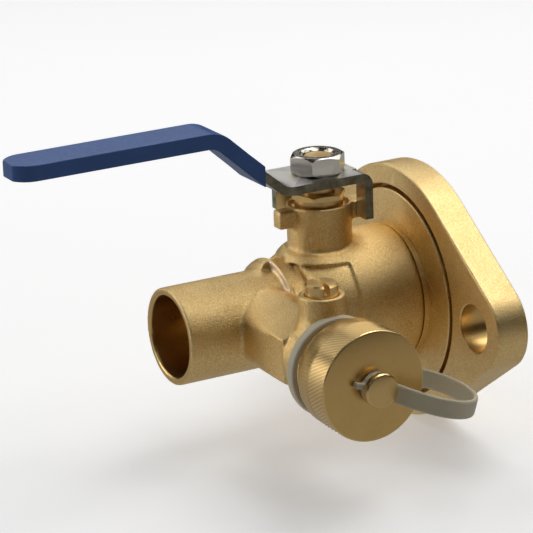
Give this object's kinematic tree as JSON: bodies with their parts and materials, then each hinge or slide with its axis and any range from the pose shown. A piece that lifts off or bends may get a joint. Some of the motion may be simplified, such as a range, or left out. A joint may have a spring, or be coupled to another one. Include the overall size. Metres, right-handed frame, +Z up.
{
  "type": "flanged ball valve",
  "caption": "Brass ball valve with a solder socket, a loose oval flange, a blue lever and a capped side drain.",
  "frame": {"origin": "centre of the two-bolt pattern on the flange's pump face, on the pipe axis", "axes": "+X along the pipe towards the pump, +Z up the main stem, -Y along the drain"},
  "size_m": [0.123, 0.1278, 0.0906],
  "materials": {
    "forged_brass": "shot-blasted forging",
    "turned_brass": "turned and knurled",
    "plated_steel": "zinc plated",
    "chromed_ball": "polished",
    "blue_vinyl": "dipped, satin",
    "white_ptfe": "turned",
    "black_rubber": "moulded",
    "ivory_strap": "moulded"
  },
  "bodies": {
    "root": {"valve_body": "forged_brass", "flange_tailpiece": "forged_brass", "ball_seat_inlet": "white_ptfe", "ball_seat_outlet": "white_ptfe", "tailpiece_seal": "black_rubber", "stem_packing": "white_ptfe", "packing_gland_nut": "turned_brass", "drain_seat_inner": "white_ptfe", "drain_seat_outer": "white_ptfe", "drain_outlet_nipple": "turned_brass", "nipple_seal": "black_rubber", "cap_strap": "ivory_strap"},
    "lever": {"lever_handle": "plated_steel", "lever_grip": "blue_vinyl", "handle_nut": "plated_steel", "valve_stem": "turned_brass", "stem_thrust_washer": "white_ptfe"},
    "main_ball": {"main_ball": "chromed_ball"},
    "drain_stem": {"drain_stem": "turned_brass", "drain_stem_rings": "black_rubber"},
    "drain_ball": {"drain_ball": "chromed_ball"},
    "flange": {"rotating_flange": "forged_brass"},
    "cap_washer": {"drain_cap_gasket": "black_rubber"},
    "cap": {"drain_cap": "turned_brass"}
  },
  "joints": [
    {"name": "lever_turn", "type": "hinge", "parent": "root", "child": "lever", "pos_m": [-0.03259, 0, 0.03], "axis": [0, 0, 1], "range_deg": [-90, 0]},
    {"name": "ball_turn", "type": "hinge", "parent": "root", "child": "main_ball", "pos_m": [-0.03259, 0, 0], "axis": [0, 0, 1], "range_deg": [-90, 0]},
    {"name": "drain_stem_turn", "type": "hinge", "parent": "root", "child": "drain_stem", "pos_m": [-0.05347, -0.0373, 0.012], "axis": [0, 0, 1], "range_deg": [0, 90]},
    {"name": "drain_ball_turn", "type": "hinge", "parent": "root", "child": "drain_ball", "pos_m": [-0.05347, -0.0373, 0], "axis": [0, 0, 1], "range_deg": [0, 90]},
    {"name": "flange_turn", "type": "hinge", "parent": "root", "child": "flange", "pos_m": [0, 0, 0], "axis": [1, 0, 0], "continuous": true},
    {"name": "cap_turn", "type": "hinge", "parent": "cap_washer", "child": "cap", "pos_m": [-0.05347, -0.055, 0], "axis": [0, -1, 0], "range_deg": [0, 1440]},
    {"name": "cap_travel", "type": "slide", "parent": "root", "child": "cap_washer", "axis": [0, -1, 0], "range_m": [0, 0.0089], "deforming": ["cap_strap"]}
  ],
  "couplings": [
    {"joint": "ball_turn", "follows": "lever_turn", "ratio": 1},
    {"joint": "drain_ball_turn", "follows": "drain_stem_turn", "ratio": 1},
    {"joint": "cap_travel", "follows": "cap_turn", "m_per_rad": 0.00035157}
  ]
}
